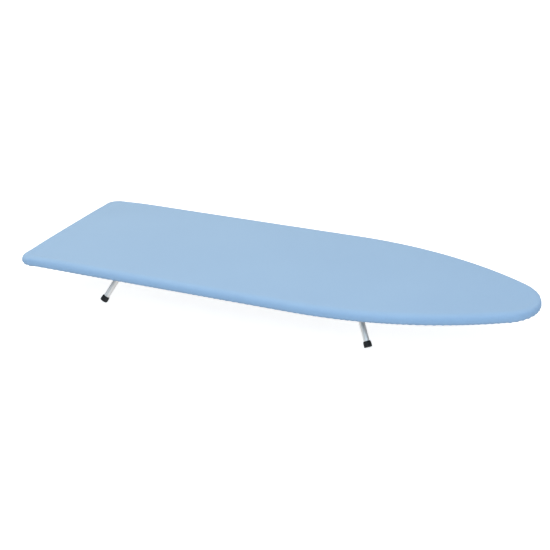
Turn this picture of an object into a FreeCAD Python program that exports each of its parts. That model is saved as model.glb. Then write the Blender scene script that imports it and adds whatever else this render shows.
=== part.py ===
import FreeCAD, Part
import Sketcher
import math
import os
import re

# A tabletop ironing board: a perforated steel deck in a folded rim, padded and covered with
# cotton, on two U-shaped tube legs that fold flat under it towards each other.
# Origin: the middle of the footprint at table level. +X to the nose, +Z up. Millimetres.

VECTOR = FreeCAD.Vector
UP = VECTOR(0, 0, 1)

os.makedirs("parts", exist_ok=True)
doc = FreeCAD.newDocument("ironing_board")

# ---------------------------------------------------------------- driving dimensions
DIMENSIONS = {
    # the whole board, seen from above
    "board_length": 810,
    "board_width": 300,
    "straight_length": 477,
    "tip_radius": 72,
    "corner_radius": 20,
    "least_corner": 6,
    "top_height": 85,
    # cover, hem and pad
    "cover_sheet": 0.6,
    "cover_depth": 15.6,
    "cover_rounding": 4,
    "pad_thickness": 4,
    "pad_gap": 0.1,
    "pad_rounding": 3.6,
    "hem_width": 30,
    "tunnel_width": 10,
    "tunnel_height": 1.4,
    "elastic_width": 6,
    "elastic_thickness": 1,
    # deck and rim
    "rim_sheet": 0.8,
    "rim_flange": 8,
    "rim_lip": 6,
    "deck_sheet": 1,
    "deck_gap": 0.2,
    "steam_hole_radius": 3.5,
    "steam_hole_pitch": 24,
    "steam_margin": 20,
    # rails and rib under the deck
    "rail_sheet": 1,
    "rail_depth": 3,
    "rail_web": 34,
    "rail_flange": 8,
    "rail_length": 268,
    "rib_web": 18,
    "rib_flange": 6,
    "press_rounding": 0.8,
    "rib_gap": 0.2,
    "rear_hinge": -249,
    "front_hinge": 134.7,
    # legs
    "tube_radius": 4.75,
    "tube_wall": 1,
    "rear_bar_half": 62,
    "front_bar_half": 52,
    "bend_radius": 15,
    "leg_length": 83.5,
    "leg_tilt": 27.4,
    "leg_splay": 22.7,
    "pivot_gap": 0.35,
    "running_clearance": 0.05,
    # rubber feet
    "foot_radius": 6.3,
    "foot_length": 9.5,
    "foot_bore_depth": 7,
    "foot_rounding": 1.2,
    "foot_grip_gap": 0.02,
    # saddles that hold the legs' crossbars
    "saddle_inset": 21.5,
    "saddle_width": 14,
    "saddle_sheet": 1.2,
    "saddle_flange": 9,
    # stops that hold the legs open
    "stop_outset": 0.5,
    "stop_width": 14,
    "stop_sheet": 1.5,
    "stop_reach": 17,
    "stop_base": 17,
    "stop_gap": 0.2,
    # clips that hold the folded legs
    "clip_run": 44,
    "clip_length": 10,
    "clip_wall": 2,
    "clip_base": 2,
    "clip_gap": 0.6,
    "clip_drop": 3,
    # rivets
    "rivet_radius": 1.6,
    "rivet_hole_gap": 0.05,
    "rivet_head_radius": 3,
    "rivet_head": 1.2,
    "rivet_inset": 4.5,
    "rivet_tail_radius": 2.3,
    "rivet_tail": 0.8,
    "rivet_land": 8,
}

sheet = doc.addObject("Spreadsheet::Sheet", "Sizes")
for row, (alias, value) in enumerate(DIMENSIONS.items(), start=1):
    sheet.set(f"A{row}", alias.replace("_", " "))
    sheet.set(f"B{row}", str(value))
    sheet.setAlias(f"B{row}", alias)
doc.recompute()


def formula(text):
    """The expression text with each alias of the sheet spelled in full."""
    return re.sub(r"[a-z_]+", lambda word: full_name(word.group()), text)


def full_name(word):
    return "Sizes." + word if word in DIMENSIONS else word


def size(text):
    """The value of an expression on the sheet's aliases."""
    return float(sheet.evalExpression(formula(text)))


def bind(thing, **properties):
    """Ties properties to expressions; a double underscore stands for a dot."""
    for name, text in properties.items():
        thing.setExpression(name.replace("__", "."), formula(text))


# Heights, as expressions on the sheet's aliases.
PAD_TOP = "(top_height - cover_sheet)"
RIM_TOP = f"({PAD_TOP} - pad_thickness)"
COVER_LOW = "(top_height - cover_depth)"
RIM_LOW = f"({COVER_LOW} + cover_sheet)"
DECK_TOP = f"({RIM_TOP} - rim_sheet)"
DECK_LOW = f"({DECK_TOP} - deck_sheet)"
WEB_LOW = f"({DECK_LOW} - rail_depth)"
AXIS = f"({WEB_LOW} - pivot_gap - tube_radius)"
RIM_INNER = "(cover_sheet + rim_sheet)"
WEB_ABOVE_AXIS = "(pivot_gap + tube_radius)"
DECK_ABOVE_AXIS = f"({WEB_ABOVE_AXIS} + rail_depth)"
CLIP_HALF = "(tube_radius + clip_gap + clip_wall)"
CLIP_EAR = f"({CLIP_HALF} + rivet_inset)"

# The legs: a name, the hinge's x, and the way they fold. Each has a left side (+Y) and a right.
LEGS = [("rear", "rear_hinge", 1), ("front", "front_hinge", -1)]
SIDES = [("left", 1), ("right", -1)]
CORNERS = [
    (f"{leg}_{side_name}", hinge, inward, side)
    for leg, hinge, inward in LEGS
    for side_name, side in SIDES
]

nodes = {}


def keep(name, thing):
    """Makes a document object one of the finished pieces."""
    thing.Label = name
    nodes[name] = thing
    return thing


# ---------------------------------------------------------------- building helpers
def sketch_on(body, role, height=None):
    """A sketch on one of the body's origin planes, moved along its normal."""
    sketch = body.newObject("Sketcher::SketchObject", body.Name + "_sketch")
    plane = next(p for p in body.Origin.OriginFeatures if p.Role == role)
    sketch.AttachmentSupport = (plane, [""])
    sketch.MapMode = "FlatFace"
    if height:
        bind(sketch, AttachmentOffset__Base__z=height)
    return sketch


def dimension(sketch, name, constraint, text):
    """A sketch dimension that follows an expression on the sheet."""
    index = sketch.addConstraint(Sketcher.Constraint(*constraint, size(text)))
    sketch.renameConstraint(index, name)
    bind(sketch, **{"Constraints__" + name: text})


def add_polygon(sketch, points):
    """A closed outline through corners given as pairs of expressions."""
    corners = [VECTOR(size(across), size(along), 0) for across, along in points]
    first = sketch.GeometryCount
    for start, end in zip(corners, corners[1:] + corners[:1]):
        sketch.addGeometry(Part.LineSegment(start, end), False)
    for step, (across, along) in enumerate(points):
        here = first + step
        before = first + (step - 1) % len(points)
        sketch.addConstraint(Sketcher.Constraint("Coincident", before, 2, here, 1))
        dimension(sketch, f"across_{here}", ("DistanceX", -1, 1, here, 1), across)
        dimension(sketch, f"along_{here}", ("DistanceY", -1, 1, here, 1), along)


def board_curve(inset):
    """The numbers of the board's outline moved inwards: half width, side radius and so on."""
    half = size(f"board_width / 2 - {inset}")
    tip = size(f"tip_radius - {inset}")
    tip_x = size("board_length / 2 - tip_radius")
    bend_x = size("straight_length - board_length / 2")
    run = tip_x - bend_x
    side = (run**2 + half**2 - tip**2) / (2 * (half - tip))
    return half, tip, tip_x, bend_x, side, math.atan2(side - half, run)


def add_outline(sketch, inset, tag):
    """The board's outline: tail, rounded corners, straight sides, side arcs and tip arc."""
    half, tip, tip_x, bend_x, side, slope = board_curve(inset)
    tail = size(f"{inset} - board_length / 2")
    corner_text = f"max(corner_radius - {inset}; least_corner)"
    corner = size(corner_text)
    quarter = math.pi / 2

    def arc(x, y, radius, start, end):
        return Part.ArcOfCircle(Part.Circle(VECTOR(x, y, 0), UP, radius), start, end)

    def line(x1, y1, x2, y2):
        return Part.LineSegment(VECTOR(x1, y1, 0), VECTOR(x2, y2, 0))

    # anticlockwise, from the straight run of the -Y side
    pieces = [
        line(tail + corner, -half, bend_x, -half),
        arc(bend_x, side - half, side, -quarter, -slope),
        arc(tip_x, 0, tip, -slope, slope),
        arc(bend_x, half - side, side, slope, quarter),
        line(bend_x, half, tail + corner, half),
        arc(tail + corner, half - corner, corner, quarter, 2 * quarter),
        line(tail, half - corner, tail, corner - half),
        arc(tail + corner, corner - half, corner, -2 * quarter, -quarter),
    ]
    first = sketch.GeometryCount
    sketch.addGeometry(pieces, False)
    for step in range(len(pieces)):
        ahead = first + (step + 1) % len(pieces)
        sketch.addConstraint(Sketcher.Constraint("Tangent", first + step, 2, ahead, 1))
    low, tip_arc, high, end = first, first + 2, first + 4, first + 6
    sketch.addConstraint(Sketcher.Constraint("Horizontal", low))
    sketch.addConstraint(Sketcher.Constraint("Horizontal", high))
    sketch.addConstraint(Sketcher.Constraint("Vertical", end))
    sketch.addConstraint(Sketcher.Constraint("PointOnObject", tip_arc, 3, -1))
    bend = "straight_length - board_length / 2"
    half_width = f"board_width / 2 - {inset}"
    dimension(sketch, tag + "corner_low", ("Radius", first + 7), corner_text)
    dimension(sketch, tag + "corner_high", ("Radius", first + 5), corner_text)
    dimension(sketch, tag + "tip", ("Radius", tip_arc), f"tip_radius - {inset}")
    tip_centre = ("DistanceX", -1, 1, tip_arc, 3)
    dimension(sketch, tag + "tip_place", tip_centre, "board_length / 2 - tip_radius")
    tail_line = ("DistanceX", end, 1, -1, 1)
    dimension(sketch, tag + "tail_place", tail_line, f"board_length / 2 - {inset}")
    dimension(sketch, tag + "half_high", ("DistanceY", -1, 1, high, 1), half_width)
    dimension(sketch, tag + "half_low", ("DistanceY", low, 1, -1, 1), half_width)
    dimension(sketch, tag + "bend_high", ("DistanceX", -1, 1, high, 1), bend)
    dimension(sketch, tag + "bend_low", ("DistanceX", -1, 1, low, 2), bend)


def add_slab(body, insets, bottom, thickness):
    """A layer of the board: one outline for a plate, two for a ring, padded upwards."""
    sketch = sketch_on(body, "XY_Plane", bottom)
    for tag, inset in zip(("outer_", "inner_"), insets):
        add_outline(sketch, inset, tag)
    pad = body.newObject("PartDesign::Pad", body.Name + "_pad")
    pad.Profile = sketch
    bind(pad, Length=thickness)
    return pad


def round_edges(body, base, radius, wanted):
    """Rounds the edges whose bounding box the test accepts."""
    doc.recompute()
    edges = enumerate(base.Shape.Edges, start=1)
    picked = [f"Edge{number}" for number, edge in edges if wanted(edge.BoundBox)]
    fillet = body.newObject("PartDesign::Fillet", body.Name + "_fillet")
    fillet.Base = (base, picked)
    bind(fillet, Radius=radius)
    return fillet


def round_top(body, pad, height, radius):
    level = size(height)
    return round_edges(body, pad, radius, lambda box: box.ZMin > level - 0.01)


def place(thing, x, y, z):
    bind(thing, Placement__Base__x=x, Placement__Base__y=y, Placement__Base__z=z)
    return thing


def block(name, sides, corner):
    """A box from its three sides and its low corner, all as expressions."""
    made = doc.addObject("Part::Box", name)
    bind(made, Length=sides[0], Width=sides[1], Height=sides[2])
    return place(made, *corner)


def rod(name, radius, height, foot, turn=None):
    """A cylinder that stands on a point."""
    made = doc.addObject("Part::Cylinder", name)
    if turn:
        made.Placement.Rotation = turn
    bind(made, Radius=radius, Height=height)
    return place(made, *foot)


def fuse(name, things):
    made = doc.addObject("Part::MultiFuse", name)
    made.Shapes = things
    return made


def cut(name, base, tool):
    made = doc.addObject("Part::Cut", name)
    made.Base = base
    made.Tool = tool
    return made


def bar_half(hinge):
    """The name of the half width of the crossbar that turns on a hinge."""
    return hinge.replace("hinge", "bar_half")


# ---------------------------------------------------------------- deck and rim
def clip_point(hinge, inward, side, off_tube):
    """Where a clip sits on the deck: along its folded leg, and so far out beside the tube."""
    splay = math.radians(size("leg_splay"))
    along = size("clip_run")
    x = size(hinge) + inward * (along - off_tube * math.sin(splay))
    y = side * (size(bar_half(hinge)) + along * math.tan(splay) + off_tube * math.cos(splay))
    return x, y


def build_deck():
    """The pressed plate, with staggered rows of round steam holes up to its border."""
    body = doc.addObject("PartDesign::Body", "deck_plate")
    add_slab(body, [f"({RIM_INNER} + deck_gap)"], DECK_LOW, "deck_sheet")
    holes = sketch_on(body, "XY_Plane", DECK_TOP)
    half, tip, tip_x, bend_x, side, _ = board_curve("steam_margin")
    tail = size("steam_margin - board_length / 2")

    def inside(x, y):
        if not tail <= x <= bend_x:
            beside_arc = math.hypot(x - bend_x, abs(y) + side - half) <= side
            beside_tip = x <= tip_x or math.hypot(x - tip_x, y) <= tip
            return x > bend_x and beside_arc and beside_tip
        return abs(y) <= half

    pitch = size("steam_hole_pitch")
    row_step = pitch * math.sqrt(3) / 2
    rows = int(half / row_step)
    columns = int(size("board_length / 2") / pitch) + 1
    rivets = [clip_point(hinge, inward, side, size(CLIP_EAR)) for _, hinge, inward, side in CORNERS]
    rivet_hole = size("rivet_radius + rivet_hole_gap")
    circles = [Part.Circle(VECTOR(x, y, 0), UP, rivet_hole) for x, y in rivets]
    for row in range(-rows, rows + 1):
        shift = pitch / 2 if row % 2 else 0
        for column in range(-columns, columns + 1):
            x, y = column * pitch + shift, row * row_step
            clear = min(math.hypot(x - a, y - b) for a, b in rivets) > size("rivet_land")
            if inside(x, y) and clear:
                circles.append(Part.Circle(VECTOR(x, y, 0), UP, size("steam_hole_radius")))
    holes.addGeometry(circles, False)
    pocket = body.newObject("PartDesign::Pocket", "steam_holes")
    pocket.Profile = holes
    bind(pocket, Length="2 * deck_sheet")
    keep("deck_plate", body)


def build_rim():
    """The folded edge: a wall, a flange over the deck's edge and a lip turned in below."""
    body = doc.addObject("PartDesign::Body", "rim_frame")
    add_slab(body, ["cover_sheet", RIM_INNER], RIM_LOW, f"{RIM_TOP} - {RIM_LOW}")
    add_slab(body, ["cover_sheet", "(cover_sheet + rim_flange)"], DECK_TOP, "rim_sheet")
    add_slab(body, ["cover_sheet", "(cover_sheet + rim_lip)"], RIM_LOW, "rim_sheet")
    keep("rim_frame", body)


# ---------------------------------------------------------------- cover, pad and hem
def build_pad_and_cover():
    """The foam pad, and the cotton skin over it and down the rim."""
    pad_inset = "(cover_sheet + pad_gap)"
    foam = doc.addObject("PartDesign::Body", "foam_pad")
    slab = add_slab(foam, [pad_inset], RIM_TOP, "pad_thickness")
    round_top(foam, slab, PAD_TOP, "pad_rounding")
    keep("foam_pad", foam)

    outer = doc.addObject("PartDesign::Body", "cover_outside")
    slab = add_slab(outer, ["0"], COVER_LOW, "cover_depth")
    round_top(outer, slab, "top_height", "cover_rounding")
    inner = doc.addObject("PartDesign::Body", "cover_inside")
    slab = add_slab(inner, ["cover_sheet"], COVER_LOW, "cover_depth - cover_sheet")
    round_top(inner, slab, PAD_TOP, "cover_rounding - cover_sheet")
    keep("cotton_cover", cut("cover_skin", outer, inner))


def build_hem():
    """The turned-under hem with its sewn tunnel, and the elastic that runs round inside it."""
    outside = "(hem_width - tunnel_width - 2 * cover_sheet)"
    cavity = "(hem_width - tunnel_width - cover_sheet)"
    inside = "(hem_width - cover_sheet)"
    floor = f"({COVER_LOW} - tunnel_height - cover_sheet)"
    hem = doc.addObject("PartDesign::Body", "cover_hem")
    add_slab(hem, ["cover_sheet", "hem_width"], COVER_LOW, "cover_sheet")
    add_slab(hem, [inside, "hem_width"], floor, "tunnel_height + 2 * cover_sheet")
    add_slab(hem, [outside, cavity], floor, "tunnel_height + 2 * cover_sheet")
    add_slab(hem, [outside, "hem_width"], floor, "cover_sheet")
    keep("cover_hem", hem)

    middle = f"({cavity} + tunnel_width / 2)"
    elastic = doc.addObject("PartDesign::Body", "hem_elastic")
    edges = [f"({middle} - elastic_width / 2)", f"({middle} + elastic_width / 2)"]
    low = f"{COVER_LOW} - (tunnel_height + elastic_thickness) / 2"
    add_slab(elastic, edges, low, "elastic_thickness")
    keep("hem_elastic", elastic)


# ---------------------------------------------------------------- rails and rib
def hat_section(web, flange):
    """A top-hat section that opens upwards, its flanges against the deck."""
    wall = f"{web} / 2"
    reach = f"({web} / 2 + {flange})"
    inner = f"({web} / 2 - rail_sheet)"
    flange_low = f"{DECK_LOW} - rail_sheet"
    web_high = f"{WEB_LOW} + rail_sheet"
    half = [
        (wall, WEB_LOW),
        (wall, flange_low),
        (reach, flange_low),
        (reach, DECK_LOW),
        (inner, DECK_LOW),
        (inner, web_high),
    ]
    return half + [(f"0 - {across}", height) for across, height in reversed(half)]


def add_hat(body, plane, web, flange, length):
    sketch = sketch_on(body, plane)
    add_polygon(sketch, hat_section(web, flange))
    pad = body.newObject("PartDesign::Pad", body.Name + "_pad")
    pad.Profile = sketch
    pad.Midplane = True
    bind(pad, Length=length)
    low = size(WEB_LOW)
    long_side = size(length) - 1
    return round_edges(
        body,
        pad,
        "press_rounding",
        lambda box: box.ZMax < low + 0.01 and max(box.XLength, box.YLength) > long_side,
    )


def build_rails():
    """A cross rail over each leg's crossbar, and the rib that joins the two rails."""
    for leg, hinge, inward in LEGS:
        rail = doc.addObject("PartDesign::Body", f"{leg}_pivot_rail")
        add_hat(rail, "XZ_Plane", "rail_web", "rail_flange", "rail_length")
        holes = sketch_on(rail, "XY_Plane", WEB_LOW)
        hole = size("rivet_radius + rivet_hole_gap")
        centres = [VECTOR(x, y, 0) for x, y in rail_rivets(hinge, inward)]
        holes.addGeometry([Part.Circle(centre, UP, hole) for centre in centres], False)
        pocket = rail.newObject("PartDesign::Pocket", f"{leg}_rivet_holes")
        pocket.Profile = holes
        pocket.Reversed = True
        bind(pocket, Length="rail_sheet + rivet_tail")
        keep(f"{leg}_pivot_rail", place(rail, hinge, "0", "0"))
    rib = doc.addObject("PartDesign::Body", "centre_rib")
    length = "front_hinge - rear_hinge - rail_web - 2 * rail_flange - 2 * rib_gap"
    add_hat(rib, "YZ_Plane", "rib_web", "rib_flange", length)
    keep("centre_rib", place(rib, "(front_hinge + rear_hinge) / 2", "0", "0"))


def rail_rivets(hinge, inward):
    """The rivets' places under a rail, from its hinge: two to a saddle and one to a stop."""
    saddle_x = size("tube_radius + running_clearance + saddle_sheet + rivet_inset")
    stop_x = -inward * size("stop_base - rivet_inset")
    saddle_y = size(f"{bar_half(hinge)} - saddle_inset")
    stop_y = size(f"{bar_half(hinge)} + stop_outset")
    saddles = [(x, y) for x in (-saddle_x, saddle_x) for y in (-saddle_y, saddle_y)]
    return saddles + [(stop_x, stop_y), (stop_x, -stop_y)]


# ---------------------------------------------------------------- saddles, stops and clips
def build_saddle(name, hinge, side):
    """A strap bent round the underside of the crossbar, with a flange each side of it."""
    bore = "(tube_radius + running_clearance)"
    shell = f"({bore} + saddle_sheet)"
    flange = f"({shell} + saddle_flange)"
    start = "0 - saddle_width / 2"
    lying = FreeCAD.Rotation(VECTOR(1, 0, 0), -90)

    def strap(part, radius, low):
        half_round = rod(f"{name}_{part}_round", radius, "saddle_width", ("0", start, "0"), lying)
        half_round.Angle = 180
        sides = (f"2 * {radius}", "saddle_width", WEB_ABOVE_AXIS)
        neck = block(f"{name}_{part}_neck", sides, (f"0 - {radius}", start, low))
        return [half_round, neck]

    flange_sides = (f"2 * {flange}", "saddle_width", "saddle_sheet")
    flange_low = f"{WEB_ABOVE_AXIS} - saddle_sheet"
    ears = block(f"{name}_ears", flange_sides, (f"0 - {flange}", start, flange_low))
    solid = fuse(f"{name}_solid", strap("outer", shell, "0") + [ears])
    rivet_x = f"({shell} + rivet_inset)"
    hole = "rivet_radius + rivet_hole_gap"
    depth = "2 * saddle_sheet"
    holes = [
        rod(f"{name}_hole_{count}", hole, depth, (x, "0", f"{WEB_ABOVE_AXIS} - {depth}"))
        for count, x in enumerate((rivet_x, f"0 - {rivet_x}"))
    ]
    hollow = fuse(f"{name}_hollow", strap("inner", bore, "0") + holes)
    saddle = cut(f"{name}_cut", solid, hollow)
    keep(name, place(saddle, hinge, f"{side} * ({bar_half(hinge)} - saddle_inset)", AXIS))


def build_stop(name, hinge, inward, side):
    """A bent tongue along the outer side of the open leg, riveted under the rail."""
    tilt_cos = "cos(leg_tilt)"
    tilt_sin = "sin(leg_tilt)"
    near = "(tube_radius + stop_gap)"
    far = f"({near} + stop_sheet)"
    base_low = f"({WEB_ABOVE_AXIS} - stop_sheet)"
    profile = [
        (f"{WEB_ABOVE_AXIS} * tan(leg_tilt) - {near} / {tilt_cos}", WEB_ABOVE_AXIS),
        ("0 - stop_base", WEB_ABOVE_AXIS),
        ("0 - stop_base", base_low),
        (f"{base_low} * tan(leg_tilt) - {far} / {tilt_cos}", base_low),
        (
            f"0 - {far} * {tilt_cos} - stop_reach * {tilt_sin}",
            f"{far} * {tilt_sin} - stop_reach * {tilt_cos}",
        ),
        (
            f"0 - {near} * {tilt_cos} - stop_reach * {tilt_sin}",
            f"{near} * {tilt_sin} - stop_reach * {tilt_cos}",
        ),
    ]
    body = doc.addObject("PartDesign::Body", name)
    sketch = sketch_on(body, "XZ_Plane")
    add_polygon(sketch, profile)
    pad = body.newObject("PartDesign::Pad", f"{name}_pad")
    pad.Profile = sketch
    pad.Midplane = True
    bind(pad, Length="stop_width")
    hole_sketch = sketch_on(body, "XY_Plane", WEB_ABOVE_AXIS)
    centre = VECTOR(size("rivet_inset - stop_base"), 0, 0)
    hole = Part.Circle(centre, UP, size("rivet_radius + rivet_hole_gap"))
    hole_sketch.addGeometry(hole, False)
    pocket = body.newObject("PartDesign::Pocket", f"{name}_hole")
    pocket.Profile = hole_sketch
    bind(pocket, Length="2 * stop_sheet")
    if inward < 0:
        body.Placement.Rotation = FreeCAD.Rotation(UP, 180)
    keep(name, place(body, hinge, f"{side} * ({bar_half(hinge)} + stop_outset)", AXIS))


def build_clip(name, hinge, inward, side):
    """A moulded fork, open downwards, that the folded leg's tube pushes up into."""
    inner = "(tube_radius + clip_gap)"
    roof = f"({DECK_ABOVE_AXIS} - clip_base)"
    tip = "(0 - clip_drop)"
    profile = [
        (f"0 - {CLIP_HALF}", tip),
        (f"0 - {inner}", tip),
        (f"0 - {inner}", roof),
        (inner, roof),
        (inner, tip),
        (CLIP_HALF, tip),
        (CLIP_HALF, roof),
        (f"{CLIP_EAR} + rivet_inset", roof),
        (f"{CLIP_EAR} + rivet_inset", DECK_ABOVE_AXIS),
        (f"0 - {CLIP_HALF}", DECK_ABOVE_AXIS),
    ]
    body = doc.addObject("PartDesign::Body", name)
    sketch = sketch_on(body, "YZ_Plane")
    if inward * side < 0:
        profile = [(f"0 - ({across})", height) for across, height in profile]
    add_polygon(sketch, profile)
    pad = body.newObject("PartDesign::Pad", f"{name}_pad")
    pad.Profile = sketch
    pad.Midplane = True
    bind(pad, Length="clip_length")
    hole_sketch = sketch_on(body, "XY_Plane", DECK_ABOVE_AXIS)
    centre = VECTOR(0, inward * side * size(CLIP_EAR), 0)
    hole = Part.Circle(centre, UP, size("rivet_radius + rivet_hole_gap"))
    hole_sketch.addGeometry(hole, False)
    pocket = body.newObject("PartDesign::Pocket", f"{name}_hole")
    pocket.Profile = hole_sketch
    bind(pocket, Length="2 * clip_base")
    x, y = clip_point(hinge, inward, side, 0)
    turn = 90 * (1 - inward) + inward * side * size("leg_splay")
    body.Placement.Rotation = FreeCAD.Rotation(UP, turn)
    body.Placement.Base = VECTOR(x, y, size(AXIS))
    keep(name, body)


# ---------------------------------------------------------------- rivets
def build_rivet(name, stack):
    """A rivet from its head's underside at the origin, through a stack of plates."""
    head = doc.addObject("Part::Cone", f"{name}_head")
    bind(head, Radius1="rivet_tail_radius", Radius2="rivet_head_radius", Height="rivet_head")
    place(head, "0", "0", "0 - rivet_head")
    shank = rod(f"{name}_shank", "rivet_radius", stack, ("0", "0", "0"))
    return head, shank


def build_rivets():
    """The rivets in three groups: under each rail, and through the deck at the clips."""
    for leg, hinge, inward in LEGS:
        group = []
        for count, (x, y) in enumerate(rail_rivets(hinge, inward)):
            name = f"{leg}_rivet_{count}"
            plate = "saddle_sheet" if count < 4 else "stop_sheet"
            head, shank = build_rivet(name, f"{plate} + rail_sheet")
            tail_at = ("0", "0", f"{plate} + rail_sheet")
            tail = rod(f"{name}_tail", "rivet_tail_radius", "rivet_tail", tail_at)
            rivet = fuse(name, [head, shank, tail])
            rivet.Placement.Base = VECTOR(size(hinge) + x, y, size(f"{WEB_LOW} - {plate}"))
            group.append(rivet)
        keep_group(f"{leg}_rail_rivets", group)
    group = []
    for corner, hinge, inward, side in CORNERS:
        name = f"{corner}_clip_rivet"
        rivet = fuse(name, build_rivet(name, "clip_base + deck_sheet"))
        x, y = clip_point(hinge, inward, side, size(CLIP_EAR))
        rivet.Placement.Base = VECTOR(x, y, size(f"{DECK_LOW} - clip_base"))
        group.append(rivet)
    keep_group("clip_rivets", group)


def keep_group(name, things):
    group = doc.addObject("Part::Compound", name)
    group.Links = things
    keep(name, group)


# ---------------------------------------------------------------- legs and feet
def build_leg(leg, hinge, inward):
    """A steel tube bent into a wide U: a crossbar on the hinge axis and two splayed sides."""
    body = doc.addObject("PartDesign::Body", f"{leg}_leg_tube")
    splay = math.radians(size("leg_splay"))
    turned = math.pi / 2 - splay
    bar = size(bar_half(hinge))
    radius = size("bend_radius")
    tangent = radius * math.tan(turned / 2)
    end_text = "(leg_length - foot_length + foot_bore_depth - foot_grip_gap)"
    end_across = f"{bar_half(hinge)} + {end_text} * sin(leg_splay)"
    end_down = f"0 - {end_text} * cos(leg_splay)"
    bend_start = VECTOR(bar - tangent, 0, 0)
    bend_end = VECTOR(bar + tangent * math.sin(splay), -tangent * math.cos(splay), 0)
    bend = Part.Circle(VECTOR(bar - tangent, -radius, 0), UP, radius)
    path = sketch_on(body, "YZ_Plane")
    path.addGeometry(
        [
            Part.LineSegment(VECTOR(0, 0, 0), bend_start),
            Part.ArcOfCircle(bend, math.pi / 2 - turned, math.pi / 2),
            Part.LineSegment(bend_end, VECTOR(size(end_across), size(end_down), 0)),
        ],
        False,
    )
    path.addConstraint(Sketcher.Constraint("Coincident", 0, 1, -1, 1))
    path.addConstraint(Sketcher.Constraint("Horizontal", 0))
    path.addConstraint(Sketcher.Constraint("Tangent", 0, 2, 1, 2))
    path.addConstraint(Sketcher.Constraint("Tangent", 1, 1, 2, 1))
    dimension(path, "bend", ("Radius", 1), "bend_radius")
    dimension(path, "end_across", ("DistanceX", -1, 1, 2, 2), end_across)
    dimension(path, "end_down", ("DistanceY", -1, 1, 2, 2), end_down)
    section = sketch_on(body, "XZ_Plane")
    for index, (name, text) in enumerate(
        [("outside", "tube_radius"), ("inside", "tube_radius - tube_wall")]
    ):
        section.addGeometry(Part.Circle(VECTOR(0, 0, 0), UP, size(text)), False)
        section.addConstraint(Sketcher.Constraint("Coincident", index, 3, -1, 1))
        dimension(section, name, ("Radius", index), text)
    pipe = body.newObject("PartDesign::AdditivePipe", f"{leg}_pipe")
    pipe.Profile = section
    pipe.Spine = path
    mirrored = body.newObject("PartDesign::Mirrored", f"{leg}_other_side")
    mirrored.Originals = [pipe]
    plane = next(p for p in body.Origin.OriginFeatures if p.Role == "XZ_Plane")
    mirrored.MirrorPlane = (plane, [""])
    body.Tip = mirrored
    body.Placement.Rotation = FreeCAD.Rotation(VECTOR(0, 1, 0), inward * size("leg_tilt"))
    keep(f"{leg}_leg_tube", place(body, hinge, "0", AXIS))


def build_foot(name, hinge, inward, side):
    """A rubber tip pushed on the tube's end, with a flat where it meets the table."""
    body = doc.addObject("PartDesign::Body", f"{name}_moulding")
    sketch = sketch_on(body, "XZ_Plane")
    bore = "(tube_radius + foot_grip_gap)"
    bore_end = "(foot_length - foot_bore_depth)"
    profile = [
        ("0", "0"),
        ("foot_radius", "0"),
        ("foot_radius", "foot_length"),
        (bore, "foot_length"),
        (bore, bore_end),
        ("0", bore_end),
    ]
    add_polygon(sketch, profile)
    turned = body.newObject("PartDesign::Revolution", f"{name}_turned")
    turned.Profile = sketch
    turned.ReferenceAxis = (sketch, ["V_Axis"])
    turned.Angle = 360
    wide = 2 * size("foot_radius") - 0.01
    round_edges(body, turned, "foot_rounding", lambda box: box.XLength > wide and box.ZLength < 0.01)
    tilt = math.radians(size("leg_tilt"))
    splay = math.radians(size("leg_splay"))
    drop = math.cos(splay)
    along = VECTOR(-inward * math.sin(tilt) * drop, side * math.sin(splay), -math.cos(tilt) * drop)
    corner = VECTOR(size(hinge), side * size(bar_half(hinge)), size(AXIS))
    body.Placement.Rotation = FreeCAD.Rotation(VECTOR(0, 0, -1), along)
    body.Placement.Base = corner + along * size("leg_length")
    reach = "2 * leg_length"
    half = "leg_length"
    near_foot = (f"{side} * {bar_half(hinge)} - {half}", f"0 - {half}")
    table = block(f"{name}_table", (reach, reach, half), (f"{hinge} - {half}", *near_foot))
    keep(name, cut(f"{name}_cut", body, table))


build_deck()
build_rim()
build_pad_and_cover()
build_hem()
build_rails()
for corner_name, hinge_text, fold_way, side_way in CORNERS:
    build_saddle(f"{corner_name}_saddle", hinge_text, side_way)
    build_stop(f"{corner_name}_stop", hinge_text, fold_way, side_way)
    build_clip(f"{corner_name}_clip", hinge_text, fold_way, side_way)
    build_foot(f"{corner_name}_foot", hinge_text, fold_way, side_way)
for leg_name, hinge_text, fold_way in LEGS:
    build_leg(leg_name, hinge_text, fold_way)
build_rivets()
doc.recompute()

# ---------------------------------------------------------------- checks and export
for thing in doc.Objects:
    if "Invalid" in thing.State or "Error" in thing.State:
        raise RuntimeError(f"{thing.Name} did not build: {thing.State}")
for name, thing in nodes.items():
    shape = thing.Shape
    if shape.isNull() or not shape.isValid():
        raise RuntimeError(f"{name} has no valid shape")
    shape.exportStep(f"parts/{name}.step")
    box = shape.optimalBoundingBox(False, False)
    print(
        f"{name:24s} solids {len(shape.Solids)} volume {shape.Volume:10.1f}"
        f"  x {box.XMin:.2f} {box.XMax:.2f}  y {box.YMin:.2f} {box.YMax:.2f}"
        f"  z {box.ZMin:.2f} {box.ZMax:.2f}"
    )
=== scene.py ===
# %% [markdown]
# # A tabletop ironing board
# A flat steel deck, padded and covered in light blue cotton, stands on two U-shaped tube legs.
# The engineering model gives every hard part its place. This script adds what the eye sees: the
# cloth with its gathered hem, the pad, the rubber tips, and a finish for each material. The
# sheet metal under the board keeps its own shape and gets softened edges and a surface.

# %% Load the frame and look at what is there
import bmesh
import bpy
import math
from mathutils import Matrix, Vector, noise


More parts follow.
